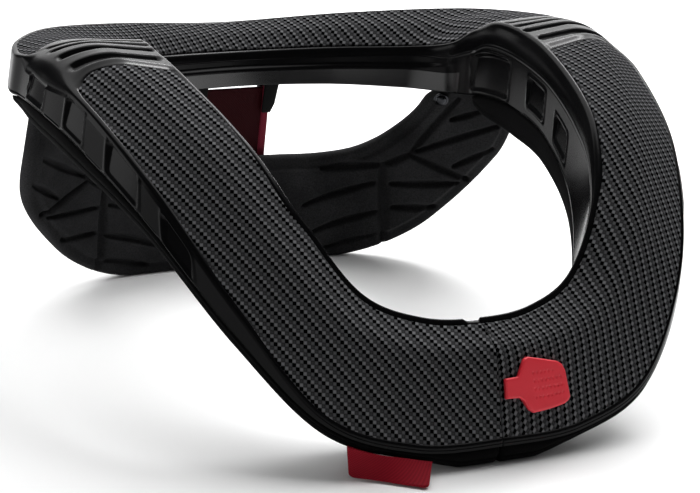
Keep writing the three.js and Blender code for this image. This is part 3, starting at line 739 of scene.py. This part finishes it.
def body_underside(s):
    """The flat underside, from the heel back to the toe."""
    part = np.linspace(0, 1, 6)[1:-1]
    outward = mix(s["rim"] + s["flare"] - HEEL, TOE - s["lean"], part)
    return [outward, mix(s["outer_foot"], s["foot"], part)]


def make_collar_body():
    """The gloss body, skinned from the seam round the ring to the seam again."""
    seam = SEAM_HALF_GAP / SEAM_SPAN
    end_steps = np.array([0.15, 0.4, 0.8]) / SEAM_SPAN
    places = along_ring(seam, 2 - seam, 1.4, 0.6)
    places = np.sort(np.concatenate([places, seam + end_steps, 2 - seam - end_steps]))
    s = body_at(places[:, None])
    outline = join_outline([
        body_toe(s), body_inner_wall(s), body_lip(s), body_top(s),
        body_edge(s), body_outer_wall(s), body_heel(s), body_underside(s)])
    loops = section_point(s, *outline)
    from_seam = np.minimum(places - seam, 2 - seam - places) * SEAM_SPAN
    points, faces = skin(round_ends(loops, from_seam, SEAM_ROUNDING))
    body = make_piece("collar_body_skin", points, faces, [GLOSS_SKIN, BAR_SKIN], "collar_body")
    column = np.arange(loops.shape[1])
    polished = (s["place"][:-1] > BAND_START) & (column < TOE_STEPS + POLISHED_WALL_STEPS)
    seam_faces = [0, 0]
    body.data.polygons.foreach_set("material_index", np.append(polished.ravel().astype(int), seam_faces))
    return body


# The inlays and the pads under the body.


def film_directions(facing):
    """Two directions in the plane that faces a way: one level with the photograph's frame, one across it."""
    facing = Vector(facing).normalized()
    across = (CAMERA_RIGHT - facing * CAMERA_RIGHT.dot(facing)).normalized()
    return across, facing.cross(across)


def make_inlay(name, start, end, length, facing):
    """A thin inlay with rounded edges, let into the recess of the body's top."""
    along = edge_steps(length, 1.3)[:, None]
    rough_width = 42.0
    width_steps = edge_steps(rough_width, 1.0)
    v = (width_steps / width_steps[-1])[None, :]
    place = mix(start(v), end(v), along / length)
    sizes = ring_at(place)
    inner, outer = recess_sides(sizes)
    inner, outer = inner + INLAY_GAP, outer - INLAY_GAP * 0.5
    part = mix(inner, outer, v) / sizes["width"]
    distance = np.minimum(np.minimum(v, 1 - v) * (outer - inner), np.minimum(along, length - along))
    top = top_point(place, part, INLAY_PROUD - rounded_drop(distance, 0.7, 0.5))
    under = top_point(place, part, np.full(place.shape, -INLAY_DEPTH))
    points, faces = slab(top, under)
    piece = make_piece(name + "_film", points, faces, [TWILL_FILM], name)
    lay_weave(piece, *film_directions(facing))
    return piece


def make_inlays():
    """The inlays of the arms and the back, each with the way that most of it faces."""
    seam = (SEAM_HALF_GAP + 0.08) / RING_SPAN
    end_gap = 0.002
    arm_length, back_length = 260.0, 270.0
    make_inlay("carbon_panel_left", lambda v: seam + 0 * v, lambda v: arm_end(v) - end_gap,
               arm_length, (-0.47, -0.68, 0.56))
    make_inlay("carbon_panel_right", lambda v: 2 - seam + 0 * v, lambda v: 2 - arm_end(v) + end_gap,
               arm_length, (0.25, -0.42, 0.86))
    make_inlay("carbon_panel_back", lambda v: back_start(v) + end_gap, lambda v: 2 - back_start(v) - end_gap,
               back_length, (0, -0.4, 0.92))


def make_under_pad(name, start, stop):
    """A soft pad under the front and one arm: flat against the body, full at its sides, rounded below."""
    inset, end_rounding = 0.8, 1.6
    inner_round, outer_round = 4.0, 3.5
    inner_share, outer_share = 0.08, 0.93
    tallest_round_in, tallest_round_out, round_share = 4.0, 3.2, 0.7
    fullest_in, fullest_out, full_share = 0.5, 0.7, 0.1
    s = ring_at(along_ring(start, stop, 1.4, 1.0)[:, None])
    pad_in, pad_out = s["pad_in"], s["pad_out"]
    top_in = s["lip_z"] - s["wall_in"] - FITTING_GAP
    top_out = s["edge_z"] - s["wall_out"] - FITTING_GAP
    left = inset - s["lean"]
    right = s["width"] + rim_width(s["place"]) + s["flare"] - inset
    thick_in, thick_out = top_in - pad_in, top_out - pad_out
    side_in = pad_in + np.minimum(tallest_round_in, thick_in * round_share)
    side_out = pad_out + np.minimum(tallest_round_out, thick_out * round_share)
    down = np.linspace(0, 1, 7)
    full_in = np.minimum(fullest_in, thick_in * full_share) * np.sin(math.pi * down)
    full_out = np.minimum(fullest_out, thick_out * full_share) * np.sin(math.pi * down)
    inner = [left - full_in, mix(top_in, side_in, down)]
    inner_end = [left + inner_round, mix(pad_in, pad_out, inner_share)]
    inner_low = bend([left, side_in], [left, pad_in], inner_end, 8)
    flat = np.linspace(0, 1, 10)[1:-1]
    below = [mix(left + inner_round, right - outer_round, flat),
             mix(pad_in, pad_out, mix(inner_share, outer_share, flat))]
    outer_start = [right - outer_round, mix(pad_in, pad_out, outer_share)]
    outer_low = bend(outer_start, [right, pad_out], [right, side_out], 8)
    outer = [right + full_out, mix(side_out, top_out, down)]
    over = np.linspace(0, 1, 6)[1:-1]
    upper = [mix(right, left, over), mix(top_out, top_in, over)]
    loops = section_point(s, *join_outline([inner, inner_low, below, outer_low, outer, upper]))
    middle = loops.mean(axis=1)
    run = np.concatenate([[0], np.cumsum(np.linalg.norm(np.diff(middle, axis=0), axis=1))])
    points, faces = skin(round_ends(loops, np.minimum(run, run[-1] - run), end_rounding))
    points[:, 2] = np.maximum(points[:, 2], 0)
    pad = make_piece(name + "_foam", points, faces, [UNDER_PAD_FOAM], name)
    return pad


# The back pad.


def flap_at(row, rise):
    """A point of the back pad's front face, at a row to the left (above 0) or right of its middle."""
    sizes = read_rows(FLAP, FLAP_COLUMNS, np.abs(row), False)
    side = np.where(row >= 0, -1.0, 1.0)
    return np.stack([
        side * mix(sizes["low_x"], sizes["top_x"], rise),
        mix(sizes["low_y"], sizes["top_y"], rise),
        mix(np.maximum(sizes["low_z"], 0), sizes["top_z"], rise)], -1) + CENTRE


def flap_back(row):
    """The way from the back pad's front to its back: straight at its middle, turned outward at its lobes."""
    turn = LOBE_TURN * ease(np.abs(row), 1, 5)
    return np.stack([np.where(row >= 0, -1.0, 1.0) * np.sin(turn), np.cos(turn), 0 * turn], -1)


def flap_grooves(face, back):
    """0 on the plain face and 1 at the bottom of the grooves, which taper to both ends."""
    groove = np.zeros(face.shape[:2])
    for start_row, start_rise, end_row, end_rise, half_width in FLAP_GROOVES:
        for side in (1, -1):
            start = flap_at(np.array(side * start_row), start_rise)
            run = flap_at(np.array(side * end_row), end_rise) - start
            share = np.clip((face - start) @ run / (run @ run), 0, 1)
            away = face - start - share[..., None] * run
            away = away - back * np.sum(away * back, axis=-1, keepdims=True)
            taper = 0.55 + 0.45 * np.sin(math.pi * share)
            across = np.linalg.norm(away, axis=-1) / (half_width * taper)
            groove = np.maximum(groove, 1 - ease(across, 0.1, 1.2))
    return groove


def make_back_pad():
    """Pressed foam: a full middle with grooves, a thinner border, rounded edges."""
    last = len(FLAP) - 1
    rows = np.linspace(-last, last, 381)
    rises = np.concatenate([[0, 0.012, 0.035], np.linspace(0.06, 0.94, 84), [0.965, 0.988, 1]])
    row, rise = np.meshgrid(rows, rises, indexing="ij")
    to_side, to_tip = np.minimum(rise, 1 - rise), last - np.abs(row)
    fullness = ease(np.minimum(to_side, to_tip * 0.25), FLAP_BORDER_RISE * 0.72, FLAP_BORDER_RISE)
    roll = rounded_drop(np.minimum(to_side * FLAP_HEIGHT, to_tip * FLAP_ROW_LENGTH), 2.2, 2.0)
    front = (FLAP_THICKNESS - FLAP_BORDER_THICKNESS) * 0.5 * (1 - fullness)
    thinner = LOBE_THINNING * ease(np.abs(row), 5, 8) * fullness
    thickness = mix(FLAP_BORDER_THICKNESS, FLAP_THICKNESS, fullness) - thinner
    face, back = flap_at(row, rise), flap_back(row)
    groove = FLAP_GROOVE_DEPTH * flap_grooves(face, back)
    upper = face + back * (front + roll + groove)[..., None]
    lower = face + back * (front + thickness - roll)[..., None]
    points, faces = slab(upper, lower)
    pad = make_piece("back_pad_foam", points, faces, [BACK_PAD_FOAM], "back_pad")
    return pad


# The strap, its clips and the rivets.

STRAP = {"half_width": 18.0, "front": 97.2, "thickness": 2.6, "bottom": 34.0, "top": 74.8, "binding": 3.4,
         "foot_spread": 1.1}
CLIP = {"inner": 14.2, "outer": 21.4, "front": 95.9, "back": 103.0, "bottom": 63.5, "top": 77.2,
        "slot": 18.35, "slot_gap": 0.3}
# How far a clip's outer side is drawn in, at parts of its height.
CLIP_TAPERS = [(0.0, 2.7), (0.3, 1.0), (1.0, 0.0)]
RIVET = {"row": 8.5, "rise": 0.89, "radius": 3.3, "height": 2.0, "lift": 0.35}


def strap_spread(height):
    """How much wider the strap is at a height than at its top."""
    return mix(STRAP["foot_spread"], 1.0, (height - STRAP["bottom"]) / (STRAP["top"] - STRAP["bottom"]))


def make_strap():
    """A webbing strap with a folded binding along both edges."""
    half, binding, half_thickness = STRAP["half_width"], STRAP["binding"], STRAP["thickness"] / 2
    binding_steps = edge_steps(binding, 0.4, (0, 0.1, 0.3, 0.6, 1.0))
    web = half - binding - 0.15
    x = np.concatenate([binding_steps - half, np.linspace(-web, web, 30), half - binding + binding_steps])
    across, up = np.meshgrid(x, np.linspace(STRAP["bottom"], STRAP["top"], 60), indexing="ij")
    past_web = np.abs(across) - half + binding
    from_edge = np.minimum(np.abs(np.abs(across) - half), np.abs(past_web))
    sunk = np.where(past_web > -0.05, rounded_drop(from_edge, 1.0, 0.9), 0.75)
    middle = STRAP["front"] + half_thickness
    across = across * strap_spread(up)
    upper = np.stack([across, middle - half_thickness + sunk, up], -1) + CENTRE
    lower = np.stack([across, middle + half_thickness - sunk, up], -1) + CENTRE
    points, faces = slab(upper, lower)
    finishes = [STRAP_TAPE, STRAP_BINDING]
    strap = make_piece("back_strut_strap", points, faces, finishes, "back_strut")
    lay_weave(strap, (1, 0, 0), (0, 0, 1))
    middles = [face.center / MM for face in strap.data.polygons]
    bound = [int(abs(spot.x) > (half - binding) * strap_spread(spot.z)) for spot in middles]
    strap.data.polygons.foreach_set("material_index", bound)
    return strap


def make_clip(name, side):
    """A nylon clip that wraps round the strap's upper corner, narrower at its foot."""
    slot_front = STRAP["front"] - CLIP["slot_gap"]
    slot_back = STRAP["front"] + STRAP["thickness"] + CLIP["slot_gap"]
    outline = [
        (CLIP["inner"], CLIP["front"]), (CLIP["outer"], CLIP["front"]), (CLIP["outer"], CLIP["back"]),
        (CLIP["inner"], CLIP["back"]), (CLIP["inner"], slot_back), (CLIP["slot"], slot_back),
        (CLIP["slot"], slot_front), (CLIP["inner"], slot_front),
    ]
    loops = []
    for share, taper in CLIP_TAPERS:
        height = mix(CLIP["bottom"], CLIP["top"], share)
        loops.append([(side * (x - taper * (x == CLIP["outer"])), y, height) for x, y in outline])
    points, faces = skin(np.array(loops) + CENTRE)
    clip = make_piece(name + "_nylon", points, faces, [CLIP_NYLON], name)
    rounding = clip.modifiers.new("rounded edges", "BEVEL")
    rounding.width = 0.45 * MM
    rounding.segments = 3
    rounding.limit_method = "ANGLE"
    return clip


def make_rivet(name, side):
    """A domed rivet with a thin flange, set square on the back pad."""
    radius, height, rise = RIVET["radius"], RIVET["height"], RIVET["rise"]
    row = np.array(side * RIVET["row"])
    along = flap_at(row + 0.3, rise) - flap_at(row - 0.3, rise)
    up = flap_at(row, rise + 0.1) - flap_at(row, rise - 0.1)
    front = unit(np.cross(along, up))
    front = front * (-1 if front[1] > 0 else 1)
    level = unit(np.cross(front, [0, 0, 1.0]))
    steep = np.cross(front, level)
    flange = [(0.9, 0.0), (1.0, 0.12), (1.0, 0.45), (0.93, 0.62), (0.8, 0.66)]
    turns = np.linspace(0, math.pi / 2, 9)[:-1]
    dome = [(radius * 0.74 * math.cos(turn), height * (0.42 + 0.58 * math.sin(turn))) for turn in turns]
    profile = [*((radius * share, lift) for share, lift in flange), *dome, (0.02, height)]
    angle = np.linspace(0, 2 * math.pi, 40, endpoint=False)
    ring = np.cos(angle)[:, None] * level + np.sin(angle)[:, None] * steep
    seat = flap_at(row, rise) + front * RIVET["lift"]
    points, faces = skin(np.array([seat + front * h + ring * r for r, h in profile]))
    return make_piece(name + "_nickel", points, faces, [RIVET_NICKEL], name)


# The release tab on the right inlay: ring place, and the parts of the top between which it spans.
RELEASE_TAB = [
    (0.004, 0.703, 0.801),
    (0.0185, 0.698, 0.803),
    (0.0225, 0.66, 0.822),
    (0.0275, 0.612, 0.868),
    (0.032, 0.6, 0.884),
    (0.049, 0.622, 0.877),
    (0.066, 0.648, 0.868),
    (0.071, 0.668, 0.858),
    (0.0738, 0.706, 0.842),
]
TAB = {"thickness": 1.7, "seat": 0.4, "under": 0.25, "field_start": 14,
       "dimple_step": 1.9, "dimple_depth": 0.35}
# Millimetres under the tab for one unit of ring place and for the whole width of the top, and how much the
# tab's widening sets its sections apart.
TAB_SPAN, TAB_TOP_WIDTH, TAB_WIDENING = 430, 47, 30


def make_release_tab():
    """A moulded rubber pull tab with a field of small grip dimples."""
    table = np.array(RELEASE_TAB)
    along = np.diff(table[:, 0]) * TAB_SPAN
    widening = np.diff(table[:, 2] - table[:, 1]) * TAB_WIDENING
    reach = np.concatenate([[0], np.cumsum(np.hypot(along, widening))])
    fine = np.linspace(0, reach[-1], 120)
    place, start, stop = (np.interp(fine, reach, table[:, column]) for column in range(3))
    rough_width = 20.0
    v = edge_steps(rough_width, 0.3, (0, 0.05, 0.15, 0.3, 0.5)) / rough_width
    part = mix(start[:, None], stop[:, None], v[None, :])
    places = np.repeat(place[:, None], len(v), axis=1)
    flat = np.stack([places * TAB_SPAN, part * TAB_TOP_WIDTH], -1)
    border = np.concatenate([flat[:, 0], flat[-1, :], flat[::-1, -1], flat[0, ::-1]])
    distance = np.min(np.linalg.norm(flat[:, :, None] - border[None, None], axis=-1), axis=2)
    field = ease(distance, 2.2, 2.6) * (flat[..., 0] > TAB["field_start"])
    step = TAB["dimple_step"]
    from_dimple = np.linalg.norm((flat / step + 0.5) % 1 - 0.5, axis=-1) * step
    dimples = TAB["dimple_depth"] * field * (1 - ease(from_dimple, 0.15, 0.5))
    lift = -rounded_drop(distance, 0.7, 0.6) - dimples
    upper = top_point(2 - places, part, TAB["seat"] + TAB["thickness"] + lift)
    lower = top_point(2 - places, part, np.full(part.shape, TAB["under"]))
    points, faces = slab(upper, lower)
    return make_piece("release_tab_rubber", points, faces, [TAB_SILICONE], "release_tab")


# The label hangs from the left pad and turns outward where it meets the floor.
LABEL = {"start": 0.067, "stop": 0.143, "thickness": 1.2, "gap": 0.3, "width": 29, "length": 17,
         "corner": 2.2, "lowest": 0.15}
LABEL_TIPS = np.array([[-40.0, -137.9, 0.9], [-64.6, -120.7, 0.9]])


def make_label():
    """A folded woven label with a slight wave, rounded lower corners and a round fold at its tip."""
    half_thickness = LABEL["thickness"] / 2
    rough_width = 34.0
    side_steps = edge_steps(rough_width, 0.8, (0, 0.1, 0.3, 0.6))
    u = side_steps / side_steps[-1]
    v = np.concatenate([np.linspace(0, 0.9, 40), 1 - 0.1 * (1 - np.linspace(0, 1, 10)[1:]) ** 2])
    across, down = np.meshgrid(u, v, indexing="ij")
    to_tip = (1 - down) * LABEL["length"]
    from_side = np.minimum(across, 1 - across) * LABEL["width"]
    down = down * (1 - rounded_drop(from_side, LABEL["corner"], LABEL["corner"]) / LABEL["length"])
    s = ring_at(mix(LABEL["start"], LABEL["stop"], across))
    seat = mix(s["pad_out"], s["edge_z"] - s["wall_out"], 0.4)
    body_side = s["width"] + rim_width(s["place"]) + s["flare"]
    root = section_point(s, body_side + LABEL["gap"] + half_thickness, seat)
    hanging = mix(LABEL_TIPS[0], LABEL_TIPS[1], across[..., None]) + CENTRE - root
    along = np.stack([-s["out_y"], s["out_x"], 0 * across], -1)
    normal = unit(np.cross(hanging, along))
    outward = np.stack([s["out_x"], s["out_y"], 1 + 0 * across], -1)
    normal = normal * np.sign(np.sum(normal * outward, axis=-1, keepdims=True))
    fold = np.clip(1 - to_tip / 0.6, 0, 1)
    half = half_thickness * np.sqrt(np.clip(1 - fold ** 2, 0.02, 1))
    wave = 0.25 * np.sin(across * 5.5 + down * 2) * down
    middle = root + hanging * down[..., None] + normal * wave[..., None]
    points, faces = slab(middle + normal * half[..., None], middle - normal * half[..., None])
    points[:, 2] = np.maximum(points[:, 2], LABEL["lowest"])
    label = make_piece("label_tab_woven", points, faces, [LABEL_TAPE], "label_tab")
    lay_weave(label, Vector((23, 16, 0)).normalized(), Vector((-0.45, -0.65, -0.6)).normalized())
    return label


# The studio and the camera, in metres.

CAMERA_AZIMUTH = math.radians(-34.70)
CAMERA_ELEVATION = math.radians(20.70)
CAMERA_ROLL = math.radians(-8.22)
CAMERA_DISTANCE = 1.200
CAMERA_AIM = Vector((-0.00055, 0.00329, 0.04285))
CAMERA_LENS = 150.57
LEVEL_RIGHT = Vector((math.cos(CAMERA_AZIMUTH), math.sin(CAMERA_AZIMUTH), 0))
CAMERA_BACK = Vector((math.sin(CAMERA_AZIMUTH) * math.cos(CAMERA_ELEVATION),
                      -math.cos(CAMERA_AZIMUTH) * math.cos(CAMERA_ELEVATION), math.sin(CAMERA_ELEVATION)))
LEVEL_UP = CAMERA_BACK.cross(LEVEL_RIGHT)
CAMERA_RIGHT = LEVEL_RIGHT * math.cos(CAMERA_ROLL) - LEVEL_UP * math.sin(CAMERA_ROLL)


def make_camera():
    lens = bpy.data.cameras.new("camera")
    lens.lens = CAMERA_LENS
    lens.sensor_width = 36
    camera = new_object("camera", lens)
    up = CAMERA_BACK.cross(CAMERA_RIGHT)
    turn = Matrix((CAMERA_RIGHT, up, CAMERA_BACK)).transposed().to_4x4()
    camera.matrix_world = Matrix.Translation(CAMERA_AIM + CAMERA_BACK * CAMERA_DISTANCE) @ turn
    bpy.context.scene.camera = camera


def make_softbox(name, place, aim, width, height, power):
    light = bpy.data.lights.new(name, "AREA")
    light.shape = "RECTANGLE"
    light.size, light.size_y = width, height
    light.energy = power
    box = new_object(name, light)
    box.location = place
    box.rotation_euler = (Vector(aim) - Vector(place)).to_track_quat("-Z", "Y").to_euler()


def make_floor():
    """Pale paper, which spreads the light and takes a soft shadow."""
    reach = 6.0
    corners = [(-reach, -reach, 0), (reach, -reach, 0), (reach, reach, 0), (-reach, reach, 0)]
    mesh = bpy.data.meshes.new("floor")
    mesh.from_pydata(corners, [], [(0, 1, 2, 3)])
    floor = new_object("floor", mesh)
    finish, tree = new_finish("pale_seamless_paper")
    surface = add(tree, "BsdfPrincipled", {"Base Color": srgb("#FAFAFA"), "Roughness": 0.95})
    add(tree, "OutputMaterial", {"Surface": surface})
    mesh.materials.append(finish)


def make_studio():
    """A pale seamless floor, three soft lights, a lit backdrop and a faint white surround."""
    make_floor()
    make_softbox("overhead softbox", (0.32, 0.62, 1.15), (0, 0, 0.03), 2.2, 1.6, 42)
    make_softbox("key strip", (0.69, 0.56, 0.94), (0, 0, 0.08), 0.5, 0.12, 6)
    make_softbox("left rear softbox", (-1.35, 0.6, 0.24), (-0.1, 0, 0.08), 0.9, 0.44, 4.5)
    make_softbox("white backdrop", (0.6, 1.6, 0.55), (0, 0, 0.1), 2.6, 0.8, 15)
    world = bpy.data.worlds.new("studio")
    bpy.context.scene.world = world
    world.use_nodes = True
    surround = world.node_tree.nodes["Background"]
    surround.inputs["Color"].default_value = srgb("#FFFFFF")
    surround.inputs["Strength"].default_value = 0.1
    bpy.context.scene.view_settings.view_transform = "Standard"


make_camera()
make_studio()
make_collar_body()
make_inlays()
make_under_pad("lower_pad_left", SEAM_HALF_GAP / SEAM_SPAN, PAD_END)
make_under_pad("lower_pad_right", 2 - PAD_END, 2 - SEAM_HALF_GAP / SEAM_SPAN)
make_back_pad()
make_strap()
make_clip("strut_clip_left", -1)
make_clip("strut_clip_right", 1)
make_rivet("snap_rivet_left", 1)
make_rivet("snap_rivet_right", -1)
make_release_tab()
make_label()
